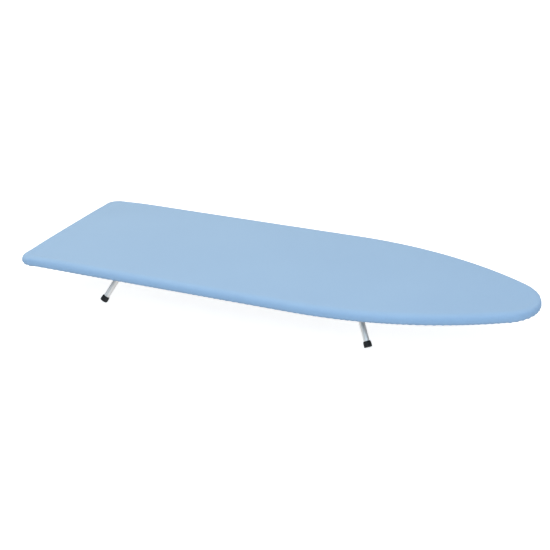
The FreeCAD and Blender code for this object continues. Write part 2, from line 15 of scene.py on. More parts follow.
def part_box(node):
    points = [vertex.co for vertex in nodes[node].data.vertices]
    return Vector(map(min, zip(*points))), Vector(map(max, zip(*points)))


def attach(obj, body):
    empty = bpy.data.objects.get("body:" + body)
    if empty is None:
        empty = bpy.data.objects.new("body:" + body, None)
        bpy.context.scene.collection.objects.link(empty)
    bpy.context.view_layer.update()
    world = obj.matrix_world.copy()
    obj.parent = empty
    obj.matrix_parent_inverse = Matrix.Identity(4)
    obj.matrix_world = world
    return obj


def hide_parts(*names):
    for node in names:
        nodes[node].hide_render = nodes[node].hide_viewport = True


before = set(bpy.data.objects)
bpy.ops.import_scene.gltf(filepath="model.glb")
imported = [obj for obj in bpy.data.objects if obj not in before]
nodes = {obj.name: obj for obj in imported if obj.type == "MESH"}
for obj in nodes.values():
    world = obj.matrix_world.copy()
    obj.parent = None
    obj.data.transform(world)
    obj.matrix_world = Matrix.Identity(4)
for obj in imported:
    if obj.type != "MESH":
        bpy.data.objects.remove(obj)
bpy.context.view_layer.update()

# %% [markdown]
# Every size below is in metres and is read from the frame where the frame has it. The outline's
# three own numbers, its straight run and its two kinds of rounding, are the pattern cutter's.

# %% Sizes
MM = 0.001
HALF_LENGTH, HALF_WIDTH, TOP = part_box("cotton_cover")[1]
RIM_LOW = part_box("rim_frame")[0][2]
PAD_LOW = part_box("foam_pad")[0][2]
STRAIGHT_RUN = 0.477
TIP_RADIUS = 0.072
CORNER_RADIUS = 0.020
print("board", HALF_LENGTH * 2, HALF_WIDTH * 2, "top", TOP)

# %% [markdown]
# The outline is a row of straight runs and arcs, tangent to each other: tail, corner, side, a
# long side arc, and the round tip. Moving it in or out only changes the radii, so one function
# gives the board's edge, the cloth that hangs past it and the hem that lies inside it.

# %% The outline as a function
def outline_runs(inset, corner=None):
    """The half outline from the middle of the tail to the nose on the +Y side, as runs.

    A line is its start and end. An arc is its centre, radius, first and last angle.
    """
    half = HALF_WIDTH - inset
    tail = inset - HALF_LENGTH
    round_off = CORNER_RADIUS - inset if corner is None else corner
    tip = TIP_RADIUS - inset
    tip_x = HALF_LENGTH - TIP_RADIUS
    bend_x = STRAIGHT_RUN - HALF_LENGTH
    run = tip_x - bend_x
    side = (run**2 + half**2 - tip**2) / (2 * (half - tip))
    slope = math.atan2(side - half, run)
    quarter = math.pi / 2
    return [
        ("line", Vector((tail, 0)), Vector((tail, half - round_off))),
        ("arc", Vector((tail + round_off, half - round_off)), round_off, 2 * quarter, quarter),
        ("line", Vector((tail + round_off, half)), Vector((bend_x, half))),
        ("arc", Vector((bend_x, half - side)), side, quarter, slope),
        ("arc", Vector((tip_x, 0)), tip, slope, 0.0),
    ]


def on_run(run, share):
    """A point and its outward direction at a share of one run."""
    if run[0] == "line":
        _, start, end = run
        along = (end - start).normalized()
        return start.lerp(end, share), Vector((-along.y, along.x))
    _, centre, radius, first, last = run
    angle = first + (last - first) * share
    outward = Vector((math.cos(angle), math.sin(angle)))
    return centre + outward * radius, outward


def run_length(run):
    if run[0] == "line":
        return (run[2] - run[1]).length
    return abs(run[4] - run[3]) * run[2]


print("runs of the edge, mm", [round(run_length(run) / MM) for run in outline_runs(0.0)])

# %% [markdown]
# The cover, the hem, the tape and the pad are lofts of rings, and all rings have the same columns.
# A column keeps its share of a run at every inset, so threads run straight across the edge.

# %% The columns of the rings
COLUMN_STEP = 2.3 * MM
HEM_INSET, BLANK_INSET = 30 * MM, -40 * MM
HEM_CORNER = 24 * MM
outer_runs, inner_runs = outline_runs(BLANK_INSET), outline_runs(HEM_INSET, HEM_CORNER)
counts = [
    round((run_length(outer) * 0.5 + run_length(inner) * 0.5) / COLUMN_STEP)
    for outer, inner in zip(outer_runs, inner_runs)
]
half_columns = [(k, i / count) for k, count in enumerate(counts) for i in range(count)]
half_columns.append((len(counts) - 1, 1.0))
COLUMNS = [(k, share, 1) for k, share in half_columns]
COLUMNS += [(k, share, -1) for k, share in reversed(half_columns[1:-1])]
print("columns", counts, len(COLUMNS))


def ring(inset, corner):
    """All columns' points and outward directions at one inset, once round the board."""
    runs = outline_runs(inset, corner)
    points = []
    for k, share, side in COLUMNS:
        point, outward = on_run(runs[k], share)
        points.append((Vector((point.x, side * point.y)), Vector((outward.x, side * outward.y))))
    return points

# %% [markdown]
# ## Camera, floor and light
# A long lens looks down from a little above and from the nose's side. A turntable pair of angles
# and a distance place it, and two small offsets set what it aims at.

# %% Camera
CAMERA_AZIMUTH, CAMERA_ELEVATION = math.radians(23.1), math.radians(23.2)
CAMERA_DISTANCE = 1.863
FOCAL_LENGTH, SENSOR = 76.4, 36.0
AIM_RIGHT, AIM_UP = -17.3 * MM, -24.6 * MM

back = Vector((
    math.sin(CAMERA_AZIMUTH) * math.cos(CAMERA_ELEVATION),
    -math.cos(CAMERA_AZIMUTH) * math.cos(CAMERA_ELEVATION),
    math.sin(CAMERA_ELEVATION),
))
right = Vector((math.cos(CAMERA_AZIMUTH), math.sin(CAMERA_AZIMUTH), 0))
aim = Vector((0, 0, TOP)) + right * AIM_RIGHT + back.cross(right) * AIM_UP
camera_data = bpy.data.cameras.new("camera")
camera_data.lens = FOCAL_LENGTH
camera_data.sensor_width = SENSOR
camera = bpy.data.objects.new("camera", camera_data)
camera.location = aim + back * CAMERA_DISTANCE
camera.rotation_mode = "QUATERNION"
camera.rotation_quaternion = (-back).to_track_quat("-Z", "Y")
bpy.context.collection.objects.link(camera)
bpy.context.scene.camera = camera
print("camera", [round(c, 3) for c in camera.location])

# %% [markdown]
# A white product tent lights the board evenly, and the wall behind looks as pale as the floor. A
# warm panel overhead makes the top the lightest face, a cool one in front catches the rolled
# edge, and two small ones keep the nose and the tail from going dull.

# %% Light and floor
scene = bpy.context.scene
scene.view_settings.view_transform = "Standard"
SURROUND = 0.50
BACKDROP = 1.1
TENT_TINT = (0.84, 0.97, 1.12, 1)
world = bpy.data.worlds.new("white tent")
world.use_nodes = True
tent = world.node_tree.nodes["Background"]
tent.inputs["Color"].default_value = TENT_TINT
looked_at = world.node_tree.nodes.new("ShaderNodeLightPath")
level = world.node_tree.nodes.new("ShaderNodeMapRange")
level.inputs["To Min"].default_value = SURROUND
level.inputs["To Max"].default_value = BACKDROP
world.node_tree.links.new(looked_at.outputs["Is Camera Ray"], level.inputs["Value"])
world.node_tree.links.new(level.outputs[0], tent.inputs["Strength"])
scene.world = world


def panel(name, place, aim_at, size, watts, tint):
    """A soft rectangular light that looks at a point."""
    data = bpy.data.lights.new(name, "AREA")
    data.shape = "RECTANGLE"
    data.size, data.size_y = size
    data.energy = watts
    data.color = tint
    light = bpy.data.objects.new(name, data)
    light.location = place
    light.rotation_mode = "QUATERNION"
    light.rotation_quaternion = (Vector(aim_at) - Vector(place)).to_track_quat("-Z", "Y")
    bpy.context.collection.objects.link(light)


panel("overhead", (-0.65, 0.3, 1.9), (-0.1, 0, 0), (2.2, 1.8), 25, (1.0, 0.80, 0.55))
panel("front window", (0.4, -1.9, 1.8), (0.0, 0, 0.05), (2.4, 1.0), 28, (0.66, 0.84, 1.0))
panel("nose window", (2.2, -0.9, 0.7), (0.2, 0, 0.05), (1.0, 0.8), 8, (0.85, 0.92, 1.0))
panel("tail window", (-1.2, -1.1, 0.5), (-0.35, 0, 0.05), (0.8, 0.6), 1.2, (0.9, 0.95, 1.0))

FLOOR_REACH = 30.0
floor_bm = bmesh.new()
bmesh.ops.create_grid(floor_bm, x_segments=1, y_segments=1, size=FLOOR_REACH)
floor_mesh = bpy.data.meshes.new("floor")
floor_bm.to_mesh(floor_mesh)
floor_bm.free()
floor = bpy.data.objects.new("floor", floor_mesh)
bpy.context.collection.objects.link(floor)
print("panels", [light.name for light in bpy.data.lights])

# %% [markdown]
# ## Finishes
# Effects that several finishes share are node groups with named sockets, built once: a plain
# weave, a soft mottle, a fine grain and patches of scuffs. A group only puts out masks, shades and
# heights. The shader itself stays in each material, with its uniform values on its sockets.

# %% Helpers for node trees
def socketed_group(name, inputs, outputs):
    """A node group with its given and its made sockets. A vector has no default, only None."""
    group = bpy.data.node_groups.new(name, "ShaderNodeTree")
    for label, default in inputs.items():
        kind = "NodeSocketVector" if default is None else "NodeSocketFloat"
        socket = group.interface.new_socket(label, in_out="INPUT", socket_type=kind)
        if default is not None:
            socket.default_value = default
    for label in outputs:
        group.interface.new_socket(label, in_out="OUTPUT", socket_type="NodeSocketFloat")
    start, end = group.nodes.new("NodeGroupInput"), group.nodes.new("NodeGroupOutput")
    return group, start.outputs, end.inputs


def plug(tree, value, socket):
    """Puts a number, colour or another node's output on a socket."""
    if isinstance(value, bpy.types.NodeSocket):
        tree.links.new(value, socket)
    else:
        socket.default_value = value


def math_node(tree, operation, *values, clamp=False):
    node = tree.nodes.new("ShaderNodeMath")
    node.operation = operation
    node.use_clamp = clamp
    for value, socket in zip(values, node.inputs):
        plug(tree, value, socket)
    return node.outputs[0]


def times(tree, first, second):
    return math_node(tree, "MULTIPLY", first, second)


def map_range(tree, value, low, high, to_low=0.0, to_high=1.0):
    node = tree.nodes.new("ShaderNodeMapRange")
    node.interpolation_type = "SMOOTHSTEP"
    for data, socket in zip((value, low, high, to_low, to_high), node.inputs):
        plug(tree, data, socket)
    return node.outputs[0]


def noise_node(tree, vector, scale, detail=2.0, roughness=0.5):
    node = tree.nodes.new("ShaderNodeTexNoise")
    for value, label in ((vector, "Vector"), (scale, "Scale"), (detail, "Detail")):
        plug(tree, value, node.inputs[label])
    node.inputs["Roughness"].default_value = roughness
    return node.outputs[0]


def stretched(tree, vector, scale, rotation=(0, 0, 0)):
    """Coordinates turned and scaled along each axis, which stretches the noise on them."""
    node = tree.nodes.new("ShaderNodeMapping")
    for value, label in ((vector, "Vector"), (rotation, "Rotation"), (scale, "Scale")):
        plug(tree, value, node.inputs[label])
    return node.outputs[0]


def mixed(tree, share, first, second):
    """A mix of two colours. The Mix node keeps a set of sockets for each kind of data."""
    node = tree.nodes.new("ShaderNodeMix")
    node.data_type = "RGBA"
    factor, colours, result = node.inputs[0], node.inputs[6:8], node.outputs[2]
    plug(tree, share, factor)
    for value, socket in zip((first, second), colours):
        plug(tree, value, socket)
    return result

# %% [markdown]
# A plain weave is two sets of threads that pass over and under each other in turn. The product
# of two sines changes sign from cell to cell like a chessboard, which says which thread is on
# top there, and the height across a thread is the absolute sine. Noise makes threads uneven.

# %% A plain weave
CROSSING = 0.35
SLUB_STRETCH, SLUB_FINENESS = (1.0, 0.06, 1.0), 900.0
CROWN_SHARE = 0.7
weave, given, made = socketed_group(
    "plain weave", {"Cloth": None, "Thread": 0.5 * MM, "Slub": 0.4}, ["Height", "Shade"])
split = weave.nodes.new("ShaderNodeSeparateXYZ")
weave.links.new(given["Cloth"], split.inputs[0])
turns = math_node(weave, "DIVIDE", math.pi, given["Thread"])
across, along = (math_node(weave, "SINE", times(weave, split.outputs[k], turns)) for k in (0, 1))
over = map_range(weave, times(weave, across, along), -CROSSING, CROSSING)
warp, weft = (math_node(weave, "ABSOLUTE", sine) for sine in (across, along))
under = math_node(weave, "SUBTRACT", 1.0, over)
crown = math_node(weave, "ADD", times(weave, warp, over), times(weave, weft, under))
slub = noise_node(weave, stretched(weave, given["Cloth"], SLUB_STRETCH), SLUB_FINENESS)
uneven = times(weave, math_node(weave, "SUBTRACT", slub, 0.5), given["Slub"])
weave.links.new(math_node(weave, "ADD", crown, uneven), made["Height"])
# Shade paints a highlight on the thread crowns and shade in the dips, plus the slubs' own tone.
shade = math_node(weave, "ADD", times(weave, crown, CROWN_SHARE),
                  times(weave, slub, 1 - CROWN_SHARE))
weave.links.new(shade, made["Shade"])
print("weave", len(weave.nodes), "nodes")

# %% [markdown]
# A mottle is broad noise round a middle value, for dye and paint that are never quite even. A
# grain is rounded cells with finer noise on them, for foam, orange peel and moulded rubber.

# %% A mottle and a grain
GRAIN_FINER, GRAIN_SHARE = 2.3, 0.6
mottle, given, made = socketed_group(
    "soft mottle", {"Place": None, "Size": 50 * MM, "Contrast": 0.5}, ["Mask"])
spread = noise_node(mottle, given["Place"], math_node(mottle, "DIVIDE", 1.0, given["Size"]), 3.0)
swing = times(mottle, math_node(mottle, "SUBTRACT", spread, 0.5), given["Contrast"])
mottle.links.new(math_node(mottle, "ADD", 0.5, swing), made["Mask"])

grain, given, made = socketed_group("sprayed grain", {"Place": None, "Size": 1 * MM}, ["Height"])
inverse = math_node(grain, "DIVIDE", 1.0, given["Size"])
pores = grain.nodes.new("ShaderNodeTexVoronoi")
pores.feature = "SMOOTH_F1"
grain.links.new(given["Place"], pores.inputs["Vector"])
grain.links.new(inverse, pores.inputs["Scale"])
fine = noise_node(grain, given["Place"], times(grain, inverse, GRAIN_FINER))
rough = math_node(grain, "ADD", times(grain, pores.outputs[0], GRAIN_SHARE),
                  times(grain, fine, GRAIN_SHARE))
grain.links.new(rough, made["Height"])
print("mottle", len(mottle.nodes), "nodes, grain", len(grain.nodes))

# %% [markdown]
# Scuffs come where a thing is handled: fine slanted streaks, let through only in some patches.

# %% Scuffs
STREAK_FINENESS = 1400.0
STREAK_STRETCH, STREAK_SLANT = (1.0, 0.08, 0.5), (0.3, 0.2, 0.6)
PATCHES, STREAKS = (0.55, 0.75), (0.45, 0.7)
scuffs, given, made = socketed_group(
    "scuffs", {"Place": None, "Amount": 0.3, "Size": 10 * MM}, ["Mask"])
wide = noise_node(scuffs, given["Place"], math_node(scuffs, "DIVIDE", 1.0, given["Size"]), 4.0)
slanted = stretched(scuffs, given["Place"], STREAK_STRETCH, STREAK_SLANT)
streaks = noise_node(scuffs, slanted, STREAK_FINENESS, 3.0, 0.6)
worn = times(scuffs, map_range(scuffs, wide, *PATCHES), map_range(scuffs, streaks, *STREAKS))
scuffs.links.new(math_node(scuffs, "MULTIPLY", worn, given["Amount"], clamp=True), made["Mask"])
print("groups", [group.name for group in bpy.data.node_groups])

# %% [markdown]
# One small class makes every finish: a new material, its coordinates and its shader, with a short
# way to place a group, a mix or a bump.

# %% The material maker
class Finish:
    """A material under construction, with its tree, its coordinates and its shader."""

    def __init__(self, name, attribute=None, **uniform):
        self.material = bpy.data.materials.new(name)
        self.material.use_nodes = True
        self.tree = self.material.node_tree
        self.shader = self.tree.nodes["Principled BSDF"]
        for label, value in uniform.items():
            self.shader.inputs[label.replace("_", " ")].default_value = value
        if attribute:
            source = self.tree.nodes.new("ShaderNodeAttribute")
            source.attribute_name = attribute
            self.place = source.outputs["Vector"]
        else:
            self.place = self.tree.nodes.new("ShaderNodeTexCoord").outputs["Object"]

    def effect(self, group, output, **values):
        node = self.tree.nodes.new("ShaderNodeGroup")
        node.node_tree = group
        self.tree.links.new(self.place, node.inputs[0])
        for label, value in values.items():
            node.inputs[label].default_value = value
        return node.outputs[output]

    def colour(self, value):
        plug(self.tree, value, self.shader.inputs["Base Color"])

    def rough(self, value, low, high):
        plug(self.tree, map_range(self.tree, value, 0.0, 1.0, low, high),
             self.shader.inputs["Roughness"])

    def bump(self, height, depth, strength=1.0):
        node = self.tree.nodes.new("ShaderNodeBump")
        node.inputs["Strength"].default_value = strength
        node.inputs["Distance"].default_value = depth
        self.tree.links.new(height, node.inputs["Height"])
        previous = self.shader.inputs["Normal"]
        if previous.links:
            self.tree.links.new(previous.links[0].from_socket, node.inputs["Normal"])
        self.tree.links.new(node.outputs[0], previous)

    def mix(self, share, first, second):
        return mixed(self.tree, share, first, second)

    def worn(self, share, dark, light, rubbed, **scuffing):
        """A colour between two shades that is rubbed to a third one in scuffed patches."""
        patches = self.effect(scuffs, "Mask", **scuffing)
        self.colour(self.mix(patches, self.mix(share, dark, light), rubbed))

# %% [markdown]
# The cover is dyed cotton: a matt weave with a faint sheen from its fibre ends. The colour is
# painted a little lighter on the thread crowns as a painted highlight, which leaves the dips
# between threads in painted shade; the slubs are paler yarn, and steam and the iron leave a soft
# unevenness.

# %% Cotton
BLUE = (0.333, 0.495, 0.690, 1)
BLUE_DEEP = (0.303, 0.460, 0.660, 1)
BLUE_HIGHLIGHT_AND_SLUB = (0.365, 0.528, 0.718, 1)
YARN = 0.55 * MM
HIGHLIGHT_AND_SLUB_SHARE = 0.55
cotton = Finish("cotton", attribute="cut", Sheen_Weight=0.12, Sheen_Roughness=0.5,
                Specular_IOR_Level=0.25)
clouds = cotton.effect(mottle, "Mask", Size=140 * MM, Contrast=1.4)
threads = cotton.effect(weave, "Shade", Thread=YARN, Slub=0.5)
# Painted highlight on the thread crowns, with painted shade in the dips, and paler slubs.
crown_highlight_and_slub = map_range(cotton.tree, threads, 0.2, 1.0, 0.0, HIGHLIGHT_AND_SLUB_SHARE)
cotton.colour(cotton.mix(crown_highlight_and_slub, cotton.mix(clouds, BLUE_DEEP, BLUE), BLUE_HIGHLIGHT_AND_SLUB))
cotton.rough(clouds, 0.78, 0.90)
cotton.bump(cotton.effect(weave, "Height", Thread=YARN, Slub=0.6), 0.12 * MM, 0.55)
print("cotton", len(cotton.tree.nodes), "nodes")

# %% [markdown]
# The pad is open-cell foam, the tape in the hem is braided rubber and polyester, and the thread
# is polyester, a shade paler than the cloth. Their cells and ribs are heights in a bump, and the
# same heights paint shade into the colour: darker in the foam's pores, the braid's dips and the
# thread's twist.

# %% Foam, elastic and thread
FOAM_PORE_SHADE, FOAM_PALE = (0.80, 0.74, 0.58, 1), (0.90, 0.86, 0.74, 1)
foam = Finish("foam", Specular_IOR_Level=0.2)
foam_cells = foam.effect(grain, "Height", Size=1.2 * MM)
# Painted shade: the foam is darker down in its pores.
foam.colour(foam.mix(foam_cells, FOAM_PORE_SHADE, FOAM_PALE))
foam.rough(foam_cells, 0.85, 1.0)
foam.bump(foam_cells, 0.6 * MM)

BRAID_DIP_SHADE, BRAID_RIB = (0.62, 0.62, 0.60, 1), (0.86, 0.86, 0.84, 1)
RIB_FINENESS = 320.0
elastic = Finish("elastic", attribute="cut", Specular_IOR_Level=0.3)
ribs = elastic.tree.nodes.new("ShaderNodeTexWave")
ribs.wave_type, ribs.bands_direction = "BANDS", "Y"
ribs.inputs["Scale"].default_value = RIB_FINENESS
ribs.inputs["Distortion"].default_value = 0.6
elastic.tree.links.new(elastic.place, ribs.inputs["Vector"])
braid = ribs.outputs["Fac"]
# Painted shade: the braid is darker in the dips between its ribs.
elastic.colour(elastic.mix(braid, BRAID_DIP_SHADE, BRAID_RIB))
elastic.rough(braid, 0.6, 0.8)
elastic.bump(braid, 0.25 * MM)

THREAD_TWIST_SHADE, THREAD_PALE = (0.42, 0.56, 0.74, 1), (0.62, 0.74, 0.88, 1)
sewing = Finish("sewing thread", Specular_IOR_Level=0.4, Sheen_Weight=0.1)
twist = sewing.effect(grain, "Height", Size=0.4 * MM)
# Painted shade: the thread is darker in the low parts of its twist.
sewing.colour(sewing.mix(twist, THREAD_TWIST_SHADE, THREAD_PALE))
sewing.rough(twist, 0.45, 0.65)
sewing.bump(twist, 0.08 * MM)
print("soft finishes", [finish.material.name for finish in (foam, elastic, sewing)])

# %% [markdown]
# Under the board is sheet steel. The deck, its rim and the rails are sprayed with white enamel,
# which dries with a slight orange peel and gets scuffed through to a grey.

# %% Enamel
ENAMEL_DULL, ENAMEL_WHITE = (0.70, 0.71, 0.72, 1), (0.80, 0.81, 0.82, 1)
ENAMEL_SCUFF = (0.45, 0.46, 0.48, 1)
enamel = Finish("deck enamel", Specular_IOR_Level=0.5, Coat_Roughness=0.12, Coat_Weight=0.25)
peel = enamel.effect(grain, "Height", Size=2.2 * MM)
enamel_tone = enamel.effect(mottle, "Mask", Size=90 * MM, Contrast=1.2)
enamel.worn(enamel_tone, ENAMEL_DULL, ENAMEL_WHITE, ENAMEL_SCUFF, Amount=0.5, Size=30 * MM)
enamel.rough(enamel_tone, 0.30, 0.42)
enamel.bump(peel, 0.10 * MM, 0.35)
print("enamel", len(enamel.tree.nodes), "nodes")

# %% [markdown]
# The saddles, stops and rivets keep the mill's zinc, whose crystals show as faint patches. Cells
# with a random colour each give the crystals: one channel tints them, another roughens them.

# %% Zinc
ZINC_DARK, ZINC_LIGHT = (0.56, 0.57, 0.58, 1), (0.72, 0.73, 0.74, 1)
ZINC_SCUFF = (0.85, 0.85, 0.84, 1)
CRYSTAL_FINENESS = 420.0
zinc = Finish("zinc plate", Metallic=1.0)
spangle = zinc.tree.nodes.new("ShaderNodeTexVoronoi")
spangle.inputs["Scale"].default_value = CRYSTAL_FINENESS
zinc.tree.links.new(zinc.place, spangle.inputs["Vector"])
crystal = zinc.tree.nodes.new("ShaderNodeSeparateColor")
zinc.tree.links.new(spangle.outputs["Color"], crystal.inputs[0])
zinc.worn(crystal.outputs[0], ZINC_DARK, ZINC_LIGHT, ZINC_SCUFF, Amount=0.8, Size=6 * MM)
zinc.rough(crystal.outputs[1], 0.28, 0.46)
zinc.bump(zinc.effect(grain, "Height", Size=0.8 * MM), 0.03 * MM, 0.5)
print("zinc", len(zinc.tree.nodes), "nodes")

# %% [markdown]
# The legs are steel tube with a satin silver coat, and the fine lines of the drawn tube still
# show through it. Noise that is stretched far along one axis makes the lines.

# %% Satin silver tube
SILVER_DARK, SILVER_LIGHT = (0.75, 0.72, 0.68, 1), (0.84, 0.81, 0.77, 1)
SILVER_SCUFF = (0.60, 0.59, 0.57, 1)
LINE_STRETCH, LINE_FINENESS = (1.0, 1.0, 0.03), 2600.0
tube = Finish("satin silver", Metallic=0.6, Coat_Weight=0.15, Coat_Roughness=0.2)
drawn = stretched(tube.tree, tube.place, LINE_STRETCH)
lines = noise_node(tube.tree, drawn, LINE_FINENESS, 3.0, 0.6)
tube_tone = tube.effect(mottle, "Mask", Size=20 * MM, Contrast=1.6)
tube.worn(tube_tone, SILVER_DARK, SILVER_LIGHT, SILVER_SCUFF, Amount=0.6, Size=12 * MM)
tube.rough(tube_tone, 0.30, 0.42)
tube.bump(lines, 0.02 * MM, 0.5)
print("tube", len(tube.tree.nodes), "nodes")

# %% [markdown]
# The tips are black rubber, a little dusty and rubbed grey. The clips are natural nylon, which
# lets some light in. The floor is a matt pale sheet, which the camera and any gloss see as lit
# from all sides, with hardly a shadow.

# %% Rubber, nylon and the floor
RUBBER_BLACK, RUBBER_DUST = (0.008, 0.008, 0.008, 1), (0.075, 0.073, 0.070, 1)
rubber = Finish("tip rubber", Specular_IOR_Level=0.32)
mould = rubber.effect(grain, "Height", Size=1.1 * MM)
dust = rubber.effect(scuffs, "Mask", Amount=0.55, Size=4 * MM)
rubber.colour(rubber.mix(dust, RUBBER_BLACK, RUBBER_DUST))
rubber.rough(mould, 0.36, 0.62)
rubber.bump(mould, 0.06 * MM, 0.6)

NYLON_DULL, NYLON_WHITE = (0.74, 0.74, 0.71, 1), (0.84, 0.84, 0.81, 1)
nylon = Finish("clip nylon", Specular_IOR_Level=0.5, Subsurface_Weight=0.15,
               Subsurface_Scale=3 * MM)
flow = nylon.effect(mottle, "Mask", Size=12 * MM, Contrast=1.5)
nylon.colour(nylon.mix(flow, NYLON_DULL, NYLON_WHITE))
nylon.rough(flow, 0.32, 0.46)
nylon.bump(nylon.effect(grain, "Height", Size=0.9 * MM), 0.03 * MM, 0.5)

FLOOR_GREY, FLOOR_LIFT = (0.60, 0.60, 0.60, 1), 0.82
ground = Finish("studio floor", Specular_IOR_Level=0.2, Roughness=0.9,
                Emission_Color=(1, 1, 1, 1))
ground.colour(FLOOR_GREY)
paths = ground.tree.nodes.new("ShaderNodeLightPath").outputs
seen = math_node(ground.tree, "MAXIMUM", paths["Is Camera Ray"], paths["Is Glossy Ray"])
lift = times(ground.tree, seen, FLOOR_LIFT)
plug(ground.tree, lift, ground.shader.inputs["Emission Strength"])
floor.data.materials.append(ground.material)
print("last finishes", [finish.material.name for finish in (rubber, nylon, ground)])

# %% [markdown]
# ## The cloth cover
# A real cover is cut flat, larger than the board by its side and its turn-under. Elastic in the
# hem then draws the edge in below, and since the blank's edge is longer than the hem, the spare
# cloth stands up in gathers, most of all round the tip and the corners. The script does the same:
# each ring of the cloth has a place on the flat blank and a place on the board, and the ratio of
# the two lengths says how deep its gathers are.

# %% The cover's rings, from the hem round the edge to the top
CLOTH = 0.5 * MM
SEAM_INSET = 19.6 * MM
SEAM_Z = RIM_LOW - 1.0 * MM
PROUD = 1.6 * MM
CROWN, CROWN_REACH = 0.3 * MM, 26 * MM
ROLL_WIDE, ROLL_HIGH = 10.6 * MM, 8.7 * MM
ROLL_CENTRE = (ROLL_WIDE - PROUD, TOP - CROWN - ROLL_HIGH)
TUCK = 4.0 * MM
UNDER_RINGS, SIDE_RINGS = 8, 3
TUCK_ANGLES, ROLL_ANGLES = (0, 30, 60, 90), (0, 16, 32, 48, 62, 76, 90)
EASING_INSETS, HELD_INSETS, STILL_INSET = (11 * MM, 13 * MM), (16 * MM, 21 * MM), 28 * MM
SQUEEZE, SQUEEZE_REACH = 3.0 * MM, 50 * MM
TURNS = (Vector((HALF_LENGTH, 0)), Vector((-HALF_LENGTH, HALF_WIDTH)),
         Vector((-HALF_LENGTH, -HALF_WIDTH)))


def top_height(inset):
    """The cloth's height on top: level in the middle, easing down towards the edge."""
    share = max(0.0, 1 - (inset - ROLL_CENTRE[0]) / CROWN_REACH)
    return TOP - CROWN * share * share


def squeezed(p):
    """A point with the pad pressed thinner round the tip and the corners, where it is tight."""
    soft = min(1.0, max(0.0, (p.z - PAD_LOW) / (TOP - PAD_LOW)))
    tight = sum(math.exp(-((p.to_2d() - turn).length / SQUEEZE_REACH) ** 2) for turn in TURNS)
    return p - Vector((0, 0, SQUEEZE * soft * tight))


def roll(degrees, under=0.0):
    """A point of the rolled top edge, or of a layer that far under the cloth."""
    angle = math.radians(degrees)
    return (ROLL_CENTRE[0] - (ROLL_WIDE - under) * math.cos(angle),
            ROLL_CENTRE[1] + (ROLL_HIGH - under) * math.sin(angle))


def tuck(degrees):
    """A point of the bend at the bottom of the side, from straight down to straight out."""
    angle = math.radians(degrees)
    return (TUCK - PROUD - TUCK * math.sin(angle), SEAM_Z + TUCK - TUCK * math.cos(angle))


turn_under = tuck(0)[0]
profile = [(SEAM_INSET + (turn_under - SEAM_INSET) * k / UNDER_RINGS, SEAM_Z)
           for k in range(UNDER_RINGS)]
profile += [tuck(angle) for angle in TUCK_ANGLES]
side_low, side_high = tuck(90)[1], ROLL_CENTRE[1]
profile += [(-PROUD, side_low + (side_high - side_low) * k / SIDE_RINGS)
            for k in range(1, SIDE_RINGS)]
profile += [roll(angle) for angle in ROLL_ANGLES]
profile += [(inset, top_height(inset)) for inset in EASING_INSETS]
FREE_RINGS = len(profile) - 1
profile += [(inset, top_height(inset)) for inset in (*HELD_INSETS, STILL_INSET)]

# Distance along the cloth from the top's still part, which is how far out each ring is cut.
travel = [0.0]
for (d0, z0), (d1, z1) in zip(profile, profile[1:]):
    travel.append(travel[-1] + math.hypot(d1 - d0, z1 - z0))
cut_inset = [STILL_INSET - (travel[-1] - distance) for distance in travel]
print("rings", len(profile), "free", FREE_RINGS, "cloth beyond the edge", round(-cut_inset[0], 4))

# %% [markdown]
# Each ring is laid on the board at its row of the profile, and on the blank as far out as it is
# cut. The laid corners open out towards the hem, because gathered cloth cannot turn tightly.

# %% Where each ring lies on the board and on the blank
TIGHTEST_CORNER = 4 * MM
CORNER_EASE = 0.6


def ring_corner(inset, below):
    """The corner's radius: tight over the top edge, opening out towards the hem."""
    if below:
        return CORNER_RADIUS + (HEM_CORNER - CORNER_RADIUS) * max(0.0, inset) / SEAM_INSET
    return max(CORNER_RADIUS - CORNER_EASE * max(0.0, inset), TIGHTEST_CORNER)


def spacing(points, i):
    """The distance from one column's neighbour to its other neighbour."""
    return (points[(i + 1) % len(points)] - points[i - 1]).length


laid, blank = [], []
for cut_at, (inset, z) in zip(cut_inset, profile):
    below = z < (TOP + SEAM_Z) / 2
    laid.append([(squeezed(Vector((p.x, p.y, z))), Vector((o.x, o.y, 0)))
                 for p, o in ring(inset, ring_corner(inset, below))])
    cut_corner = max(CORNER_RADIUS - cut_at, TIGHTEST_CORNER)
    blank.append([Vector((p.x, p.y, 0)) for p, _ in ring(cut_at, cut_corner)])
seam = [p for p, _ in laid[0]]
nose = len(COLUMNS) // 2
print("blank to seam at the nose", round(spacing(blank[0], nose) / spacing(seam, nose), 2))

# %% [markdown]
# The gathers are one long wave round the hem. Its pitch and depth wander, as they do when a
# sewing machine feeds cloth over stretched elastic. Each ring's depth follows from its spare
# length: a wave of pitch p that uses up a share of spare cloth s is about p/pi * sqrt(s) deep.

# %% Gathers
GATHER_PITCH = 9.5 * MM
PITCH_WANDER, PITCH_FINENESS = 0.45, 24.0
LEAN, LEAN_FINENESS, LEAN_RISE = 0.9, 11.0, 60
DEPTH, DEPTH_WANDER, DEPTH_FINENESS = 0.80, 0.35, 37.0
OVERTONE = 0.16
phase = [0.0]
for i in range(1, len(seam) + 1):
    here, before = seam[i % len(seam)], seam[i - 1]
    pitch = GATHER_PITCH * (1 + PITCH_WANDER * noise.noise(here * PITCH_FINENESS))
    phase.append(phase[-1] + (here - before).length / pitch)
whole = round(phase[-1]) / phase[-1]
phase = [2 * math.pi * p * whole for p in phase[:-1]]
print("gathers round the hem", round(phase[-1] / (2 * math.pi)))


def wave(i, height):
    """A gather's shape at a column, from -1 to 1, with a lean that changes up the skirt."""
    lean = LEAN * noise.noise(seam[i] * LEAN_FINENESS + Vector((0, 0, height * LEAN_RISE)))
    depth = DEPTH + DEPTH_WANDER * noise.noise(seam[i] * DEPTH_FINENESS)
    return math.cos(phase[i] + lean) * depth + OVERTONE * math.cos(2 * phase[i])

